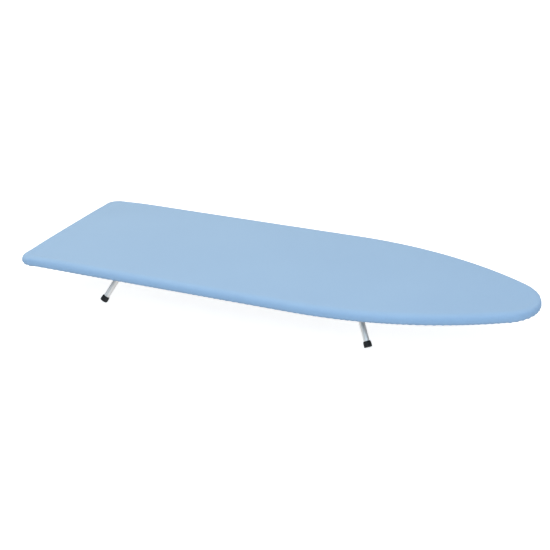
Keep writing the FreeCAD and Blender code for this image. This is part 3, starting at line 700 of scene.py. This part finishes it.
# %% [markdown]
# The wave stands out from the cloth, deepest at the seam, and dies away before the rings that
# are held on top.

# %% The skirt's first shape
DEEPEST = 2.6 * MM
LEAST_SPARE = 0.10
FADE = 1.3


def bulge(j, i):
    """Which way the cloth bulges at a ring: down below the rim, out at the side, up on top."""
    (d0, z0), (d1, z1) = profile[max(j - 1, 0)], profile[min(j + 1, len(profile) - 1)]
    run = math.hypot(d1 - d0, z1 - z0)
    return laid[j][i][1] * ((z1 - z0) / run) + Vector((0, 0, (d1 - d0) / run))


start = []
for j, (_, z) in enumerate(profile):
    points = [p for p, _ in laid[j]]
    fade = (1 - min(1.0, travel[j] / travel[FREE_RINGS])) ** FADE
    row = []
    for i, point in enumerate(points):
        step = spacing(points, i)
        spare = max(spacing(blank[j], i) / step - 1, LEAST_SPARE) * fade
        pitch = GATHER_PITCH * step / spacing(seam, i)
        deep = min(pitch / math.pi * math.sqrt(spare), DEEPEST) * fade
        row.append(point + bulge(j, i) * (deep * (1 + wave(i, z - SEAM_Z))))
    start.append(row)
print("deepest gather", round(max((a - b[0]).length for a, b in zip(start[0], laid[0])), 4))

# %% [markdown]
# One function makes every ring-shaped piece. It starts as a circle of edges, which is moved onto
# the first ring, and each further ring is an extrusion of the last one. Every vertex keeps its
# ring and column, by which they are sorted, and its place on the blank, which the weave needs.

# %% A loft of rings
def loft(rings, cuts=None, closed=False):
    """A bmesh whose vertices lie on rings of points, one point to a column."""
    bm = bmesh.new()
    column = bm.verts.layers.int.new("column")
    level = bm.verts.layers.int.new("level")
    cut = bm.verts.layers.float_vector.new("cut")
    bmesh.ops.create_circle(bm, segments=len(rings[0]), radius=1.0, cap_ends=False)
    for i, vertex in enumerate(bm.verts):
        vertex[column] = i
    verts, edges = bm.verts[:], bm.edges[:]
    first = edges
    for j, points in enumerate(rings):
        if j:
            grown = bmesh.ops.extrude_edge_only(bm, edges=edges)["geom"]
            verts = [part for part in grown if isinstance(part, bmesh.types.BMVert)]
            fresh = set(verts)
            edges = [part for part in grown if isinstance(part, bmesh.types.BMEdge)
                     and part.verts[0] in fresh and part.verts[1] in fresh]
        for vertex in verts:
            vertex.co = points[vertex[column]]
            vertex[level] = j
            vertex[cut] = (cuts or rings)[j][vertex[column]]
    if closed:
        bmesh.ops.bridge_loops(bm, edges=first + edges)
    bm.verts.sort(key=lambda vertex: vertex[level] * len(rings[0]) + vertex[column])
    bm.verts.index_update()
    return bm


def into_object(bm, name, material):
    """Turns a bmesh into an object at the origin, with its normals outward."""
    bmesh.ops.recalc_face_normals(bm, faces=bm.faces)
    for face in bm.faces:
        face.smooth = True
    mesh = bpy.data.meshes.new(name)
    bm.to_mesh(mesh)
    bm.free()
    mesh.materials.append(material)
    piece = bpy.data.objects.new(name, mesh)
    bpy.context.collection.objects.link(piece)
    print(name, len(mesh.vertices), "vertices", len(mesh.polygons), "faces")
    return piece

# %% [markdown]
# The wave is only a first guess. Blender's cloth solver then finds how the skirt really lies:
# its rest shape is the flat blank, the top and the hem are pinned, and a core the shape of the
# rim and the pad holds it up. Gravity is off, because in such a narrow strip the cloth's own
# stiffness decides. The solver likes larger pieces, so it works at ten times the size, and a
# point may only move a few millimetres. The result becomes plain mesh again.

# %% The skirt and its core, as trial pieces
SIM_SCALE = 10.0
CORE_GAP, CORE_FRICTION = 0.4 * MM, 8
CORE_UNDER, CORE_SIDE, CORE_EASE = 24 * MM, 0.6 * MM, 0.3 * MM
CORE_ANGLES = (38, 52, 70, 90)


def trial_skirt(start, cuts, free):
    """The skirt at the solver's size, with its blank as a second shape and both edges held."""
    bm = loft([[p * SIM_SCALE for p in row] for row in start])
    skirt = into_object(bm, "skirt_trial", cotton.material)
    skirt.shape_key_add(name="Basis")
    flat = skirt.shape_key_add(name="Blank")
    columns = len(start[0])
    for j, row in enumerate(cuts):
        for i, point in enumerate(row):
            flat.data[j * columns + i].co = point * SIM_SCALE
    held = skirt.vertex_groups.new(name="held")
    held.add(list(range(columns)), 1.0, "REPLACE")
    held.add(list(range(free * columns, len(start) * columns)), 1.0, "REPLACE")
    return skirt, flat


def trial_core():
    """The rim and the pad as one shape that the cloth may not pass through."""
    section = [(CORE_UNDER, RIM_LOW), (CORE_SIDE + CORE_EASE, RIM_LOW),
               (CORE_SIDE, RIM_LOW + CORE_EASE), (CORE_SIDE, PAD_LOW)]
    section += [roll(angle, under=CLOTH) for angle in CORE_ANGLES]
    section += [(STILL_INSET, top_height(STILL_INSET) - CLOTH)]
    bm = loft([[squeezed(Vector((p.x, p.y, z))) * SIM_SCALE for p, _ in ring(
        inset, ring_corner(min(inset, SEAM_INSET), z < PAD_LOW))] for inset, z in section])
    core = into_object(bm, "core_trial", enamel.material)
    core.modifiers.new("collide", "COLLISION")
    core.collision.thickness_outer = CORE_GAP * SIM_SCALE
    core.collision.cloth_friction = CORE_FRICTION
    return core

# %% [markdown]
# Stiff, well damped cotton comes to rest within a second.

# %% Cloth simulation of the skirt
SIM_FRAMES = 24
FURTHEST_MOVE = 3.0 * MM
COTTON_CLOTH = {
    "quality": 8, "mass": 0.2, "tension_stiffness": 22, "compression_stiffness": 22,
    "shear_stiffness": 6, "bending_stiffness": 1.2, "tension_damping": 20,
    "compression_damping": 20, "shear_damping": 12, "bending_damping": 1.0, "air_damping": 6,
}


def settled(start, cuts, free):
    """The skirt's rings after the cloth solver, from a start shape and the flat blank."""
    skirt, flat = trial_skirt(start, cuts, free)
    core = trial_core()
    cloth = skirt.modifiers.new("settle", "CLOTH")
    cloth.settings.vertex_group_mass = "held"
    cloth.settings.rest_shape_key = flat
    for label, value in COTTON_CLOTH.items():
        setattr(cloth.settings, label, value)
    cloth.settings.effector_weights.gravity = 0
    cloth.collision_settings.distance_min = 0.001
    cloth.collision_settings.collision_quality = 3
    cloth.collision_settings.use_self_collision = False
    cloth.point_cache.frame_start, cloth.point_cache.frame_end = 1, SIM_FRAMES
    for frame_number in range(1, SIM_FRAMES + 1):
        scene.frame_set(frame_number)
    done = skirt.evaluated_get(bpy.context.evaluated_depsgraph_get()).data
    result, furthest = [], 0.0
    for j, row in enumerate(start):
        moved_row = []
        for i, before in enumerate(row):
            move = done.vertices[j * len(row) + i].co / SIM_SCALE - before
            furthest = max(furthest, move.length)
            capped = min(1.0, FURTHEST_MOVE / max(move.length, 1e-9))
            moved_row.append(before + move * capped)
        result.append(moved_row)
    print("the solver moved the cloth at most", round(furthest, 4))
    scene.frame_set(1)
    for trial in (skirt, core):
        bpy.data.objects.remove(trial)
    return result


skirt_rings = settled(start, blank, FREE_RINGS)

# %% [markdown]
# The cover is the skirt's rings and, inside them, rings that close in on the board's middle line,
# where the last one's two sides are merged. Padding is never quite even, so the top rises and
# falls by a fraction of a millimetre.

# %% The cover itself
SPINE = (-265 * MM, 318 * MM)
TOP_SHARES = (0.12, 0.28, 0.46, 0.64, 0.82, 1.0)
UNEVEN, UNEVEN_FINENESS, UNEVEN_FROM = 0.25 * MM, 9.0, 50 * MM
MERGE = 0.02 * MM


def fold_in(points, share):
    """A ring drawn in towards the board's middle line by a share of the way."""
    low, high = min(p.x for p in points), max(p.x for p in points)
    drawn = []
    for p in points:
        along = (p.x - low) / (high - low)
        middle = Vector((SPINE[0] + (SPINE[1] - SPINE[0]) * along, 0, p.z))
        drawn.append(p.lerp(middle, share))
    return drawn


def soft_top(p):
    """The middle of the top, with the pad's faint unevenness and its squeeze."""
    inward = min(1.0, max(0.0, (HALF_WIDTH - abs(p.y)) / UNEVEN_FROM))
    rise = UNEVEN * inward * noise.noise(p * UNEVEN_FINENESS)
    return squeezed(p + Vector((0, 0, rise)))


def thickened(piece, thickness):
    """Gives a piece of cloth its thickness, inward from the face that is seen."""
    wall = piece.modifiers.new("cloth", "SOLIDIFY")
    wall.thickness, wall.offset = thickness, -1.0


top_ring = [Vector((p.x, p.y, TOP)) for p, _ in laid[-1]]
inner = [fold_in(top_ring, share) for share in TOP_SHARES]
cover_rings = skirt_rings + [[soft_top(p) for p in row] for row in inner]
cover_cuts = blank + [[Vector((p.x, p.y, 0)) for p in row] for row in inner]
cover_bm = loft(cover_rings, cover_cuts)
bmesh.ops.remove_doubles(cover_bm, verts=cover_bm.verts, dist=MERGE)
cover = into_object(cover_bm, "cover", cotton.material)
thickened(cover, CLOTH)
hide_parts("cotton_cover")
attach(cover, "board")

# %% [markdown]
# The hem is a tunnel: the blank's edge folded back on itself and sewn down, with elastic tape
# inside. It takes the same gathers as the skirt, deeper at its free edge. Where the two ends of
# the seam meet in the middle of the tail, a short stretch stays open to let the tape be changed.

# %% The hem's tunnel
HEM_REACH = 10 * MM
SWAY, SWAY_START = 0.5 * MM, 1.3
HEM_DEEPER = 0.35
OPENING = 7.5 * MM
HEM_CLOTH = 0.4 * MM
TUNNEL = [(19.3, 0.15), (20.7, 0.62), (22.4, 1.20), (24.4, 1.55), (26.8, 1.45), (28.6, 0.95),
          (29.4, 0.20), (28.6, -0.45), (26.8, -0.72), (24.4, -0.75), (22.4, -0.60),
          (20.7, -0.30)]
walk = [0.0]
for i in range(1, len(seam)):
    walk.append(walk[-1] + (seam[i] - seam[i - 1]).length)


def hem_point(i, inset, drop, deeper):
    """A point of the hem at a column: its inset, its drop below the seam, and the gather."""
    seam_point, outward = laid[0][i]
    further = (inset - SEAM_INSET) / HEM_REACH
    fall = (seam_point - start[0][i]).length * (1 + deeper * further)
    sway = SWAY * math.sin(phase[i] * 0.5 + SWAY_START) * further
    inward = outward * (inset - SEAM_INSET + sway)
    return seam_point - inward - Vector((0, 0, fall + drop))


def hem_loft(section, deeper):
    """A closed loft along the hem, from a section of insets and drops in millimetres."""
    rings = [[hem_point(i, inset * MM, drop * MM, deeper) for i in range(len(COLUMNS))]
             for inset, drop in section]
    cuts = [[Vector((distance, inset * MM, 0)) for distance in walk] for inset, _ in section]
    return loft(rings, cuts, closed=True)


hem_bm = hem_loft(TUNNEL, HEM_DEEPER)
open_faces = [face for face in hem_bm.faces if face.calc_center_median().x < 0
              and abs(face.calc_center_median().y) < OPENING]
bmesh.ops.delete(hem_bm, geom=open_faces, context="FACES")
hem = into_object(hem_bm, "hem_tunnel", cotton.material)
thickened(hem, HEM_CLOTH)
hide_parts("cover_hem")
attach(hem, "board")

# %% [markdown]
# The seam is a row of short stitches, each a stretched ball of thread. They are stepped off at
# even distances along the hem, and none lies across the opening.

# %% Stitches along the hem
STITCH, STITCH_GAP = 2.5 * MM, 0.9 * MM
THREAD, THREAD_FLATTER = 0.24 * MM, 0.8
SEWN_INSET, SEWN_DROP = 20.6 * MM, 0.72 * MM
sewn = [hem_point(i, SEWN_INSET, SEWN_DROP, HEM_DEEPER) for i in range(len(COLUMNS))]
one_bm = bmesh.new()
bmesh.ops.create_uvsphere(one_bm, u_segments=6, v_segments=4, radius=THREAD,
                          matrix=Matrix.Diagonal((STITCH / 2 / THREAD, 1, THREAD_FLATTER, 1)))
one_stitch = bpy.data.meshes.new("one stitch")
one_bm.to_mesh(one_stitch)
one_bm.free()
stitch_bm = bmesh.new()
due, walked, placed = STITCH, 0.0, 0
for a, b in zip(sewn, sewn[1:] + sewn[:1]):
    piece_length = (b - a).length
    while walked + piece_length >= due:
        middle = a.lerp(b, (due - walked) / piece_length)
        if not (middle.x < 0 and abs(middle.y) < OPENING + STITCH):
            turn = (b - a).to_track_quat("X", "Z").to_matrix().to_4x4()
            where = Matrix.Translation(middle) @ turn
            one_stitch.transform(where)
            stitch_bm.from_mesh(one_stitch)
            one_stitch.transform(where.inverted())
            placed += 1
        due += STITCH + STITCH_GAP
    walked += piece_length
stitching = into_object(stitch_bm, "hem_stitching", sewing.material)
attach(stitching, "board")
print("stitches", placed)

# %% [markdown]
# The tape is flat and closed in a ring. Its section lies inside the tunnel's all the way round
# and follows the same gathers.

# %% Elastic tape in the tunnel
TAPE = [(21.4, 0.65), (21.5, 0.95), (24.4, 1.0), (27.3, 0.95), (27.4, 0.65), (27.3, 0.05),
        (24.4, 0.0), (21.5, 0.05)]
TAPE_DEEPER = 0.3
tape = into_object(hem_loft(TAPE, TAPE_DEEPER), "elastic_tape", elastic.material)
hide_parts("hem_elastic")
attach(tape, "board")

# %% [markdown]
# The pad is a slab of foam cut to the rim's outline. It is what gives the board its soft rolled
# edge, so its own edge follows the same curve as the cloth, one thickness further in.

# %% Foam pad
PAD_GAP = 0.15 * MM
PAD_UNDER, PAD_SIDE = 4.0 * MM, 1.4 * MM
PAD_ANGLES = (38, 50, 62, 76, 90)
LOW_SHARES, HIGH_SHARES = (1.0, 0.7, 0.35), (0.3, 0.65, 1.0)
pad_edge = [(PAD_UNDER, PAD_LOW), (PAD_SIDE, PAD_LOW)]
pad_edge += [roll(angle, under=CLOTH + PAD_GAP) for angle in PAD_ANGLES]
pad_edge += [(STILL_INSET, top_height(STILL_INSET) - CLOTH - PAD_GAP)]
pad_rings = [[Vector((p.x, p.y, z)) for p, _ in ring(inset, ring_corner(inset, False))]
             for inset, z in pad_edge]
low_fold = [fold_in(pad_rings[0], share) for share in LOW_SHARES]
high_fold = [fold_in(pad_rings[-1], share) for share in HIGH_SHARES]
pad_bm = loft([[squeezed(p) for p in row] for row in low_fold + pad_rings + high_fold])
bmesh.ops.remove_doubles(pad_bm, verts=pad_bm.verts, dist=MERGE)
pad = into_object(pad_bm, "pad", foam.material)
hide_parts("foam_pad")
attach(pad, "board")

# %% [markdown]
# ## The legs' rubber tips
# A tip is a moulded cup pushed on the tube's end. Half of its section is drawn as a line of
# vertices and spun round the tube's axis. Fine ribs help the fingers pull it on. The leg stands
# at a slant, so the moulding ends in a flat that is cut level with the table.

# %% The moulding of a tip
TIP_OUTSIDE = 6.3 * MM
BORE = 4.78 * MM
SECTION = [(0.0, 7.0), (4.78, 7.0), (4.78, 0.35), (4.95, 0.08), (5.2, 0.0), (5.55, 0.1),
           (5.75, 0.45), (5.8, 1.1), (5.84, 1.5), (5.9, 2.6), (6.0, 4.2), (6.08, 5.8),
           (6.14, 7.0), (6.24, 7.3), (6.3, 7.7), (6.3, 8.5), (6.15, 9.05), (5.8, 9.4),
           (5.2, 9.5), (0.0, 9.5)]
STEPS = 96
RIBS, RIB_HEIGHT = 16, 0.13 * MM
RIB_START, RIB_END = 1.4 * MM, 7.1 * MM
WELD = 0.01 * MM


def moulded_tip():
    """A whole ribbed tip, its mouth at the origin and its closed end along +Z."""
    tip_bm = bmesh.new()
    corners = [tip_bm.verts.new((r * MM, 0, t * MM)) for r, t in SECTION]
    lines = [tip_bm.edges.new(pair) for pair in zip(corners, corners[1:])]
    bmesh.ops.spin(tip_bm, geom=corners + lines, cent=(0, 0, 0), axis=(0, 0, 1),
                   angle=2 * math.pi, steps=STEPS, use_merge=True)
    bmesh.ops.remove_doubles(tip_bm, verts=tip_bm.verts, dist=WELD)
    for vertex in tip_bm.verts:
        across = math.hypot(vertex.co.x, vertex.co.y)
        if across > BORE * 1.1 and RIB_START < vertex.co.z < RIB_END:
            angle = math.atan2(vertex.co.y, vertex.co.x)
            proud = RIB_HEIGHT * (1 + math.cos(RIBS * angle))
            vertex.co.x *= 1 + proud / across
            vertex.co.y *= 1 + proud / across
    return tip_bm


def cut_level(tip_bm):
    """Cuts a placed tip off at the table and closes the cut with a flat."""
    cut = bmesh.ops.bisect_plane(
        tip_bm, geom=[*tip_bm.verts, *tip_bm.edges, *tip_bm.faces], dist=1e-7,
        plane_co=(0, 0, 0), plane_no=(0, 0, -1), clear_outer=True)["geom_cut"]
    rim = [part for part in cut if isinstance(part, bmesh.types.BMEdge)]
    bmesh.ops.edgeloop_fill(tip_bm, edges=rim)

# %% [markdown]
# The frame gives each tip's box, and the legs' slant and splay give its axis. Its mouth is as far
# inside the box as the tip's round outside reaches.

# %% Rubber tips
LEG_TILT, LEG_SPLAY, TIP_SHARP = (math.radians(angle) for angle in (27.4, 22.7, 38))
for leg, fold_way in (("rear", 1), ("front", -1)):
    for side_name, side in (("left", 1), ("right", -1)):
        node_name = f"{leg}_{side_name}_foot"
        low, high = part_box(node_name)
        down = Vector((-fold_way * math.sin(LEG_TILT) * math.cos(LEG_SPLAY),
                       side * math.sin(LEG_SPLAY), -math.cos(LEG_TILT) * math.cos(LEG_SPLAY)))
        reach = [TIP_OUTSIDE * math.sqrt(1 - c * c) for c in down]
        mouth = Vector([low[k] + reach[k] if down[k] > 0 else high[k] - reach[k]
                        for k in range(3)])
        place = Matrix.Translation(mouth) @ down.to_track_quat("Z", "Y").to_matrix().to_4x4()
        tip_bm = moulded_tip()
        bmesh.ops.transform(tip_bm, matrix=place, verts=tip_bm.verts)
        cut_level(tip_bm)
        tip = into_object(tip_bm, f"{leg}_{side_name}_tip", rubber.material)
        tip.data.set_sharp_from_angle(angle=TIP_SHARP)
        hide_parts(node_name)
        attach(tip, f"{leg}_leg")

# %% [markdown]
# ## Hardware under the board
# Pressed sheet never has a knife edge, and a thin highlight along a softened edge is what tells
# the eye that it is metal. Each pressing is merged into a clean copy and gets a small bevel.

# %% Pressings with softened edges
FLAT_ANGLE, SHARP_ANGLE, EASED_ANGLE = (math.radians(angle) for angle in (1, 30, 40))


def eased(node_name, width, material):
    """A merged copy of a hard part with its edges slightly rounded."""
    copy_bm = bmesh.new()
    copy_bm.from_mesh(nodes[node_name].data)
    bmesh.ops.remove_doubles(copy_bm, verts=copy_bm.verts, dist=WELD)
    bmesh.ops.dissolve_limit(copy_bm, angle_limit=FLAT_ANGLE, verts=copy_bm.verts,
                             edges=copy_bm.edges)
    part = into_object(copy_bm, f"{node_name}_pressing", material)
    part.data.set_sharp_from_angle(angle=SHARP_ANGLE)
    bevel = part.modifiers.new("eased edge", "BEVEL")
    bevel.width, bevel.segments = width, 2
    bevel.limit_method, bevel.angle_limit = "ANGLE", EASED_ANGLE
    bevel.harden_normals = True
    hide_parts(node_name)
    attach(part, "board")


RAIL_EDGE, SADDLE_EDGE, STOP_EDGE, CLIP_EDGE = 0.25 * MM, 0.3 * MM, 0.35 * MM, 0.4 * MM
for node_name in ("centre_rib", "rear_pivot_rail", "front_pivot_rail"):
    eased(node_name, RAIL_EDGE, enamel.material)
for leg in ("rear", "front"):
    for side_name in ("left", "right"):
        eased(f"{leg}_{side_name}_saddle", SADDLE_EDGE, zinc.material)
        eased(f"{leg}_{side_name}_stop", STOP_EDGE, zinc.material)
        eased(f"{leg}_{side_name}_clip", CLIP_EDGE, nylon.material)

# %% [markdown]
# The deck is a thin sheet with hundreds of holes, and the rim, the tubes and the rivets already
# have round edges of their own. They keep their meshes and only take a finish.

# %% Finishes of the parts shown as they are
shown_as_is = {"deck_plate": enamel, "rim_frame": enamel, "rear_leg_tube": tube,
               "front_leg_tube": tube, "rear_rail_rivets": zinc, "front_rail_rivets": zinc,
               "clip_rivets": zinc}
for node_name, finish in shown_as_is.items():
    nodes[node_name].material_slots[0].material = finish.material
print("shown as they are", list(shown_as_is))
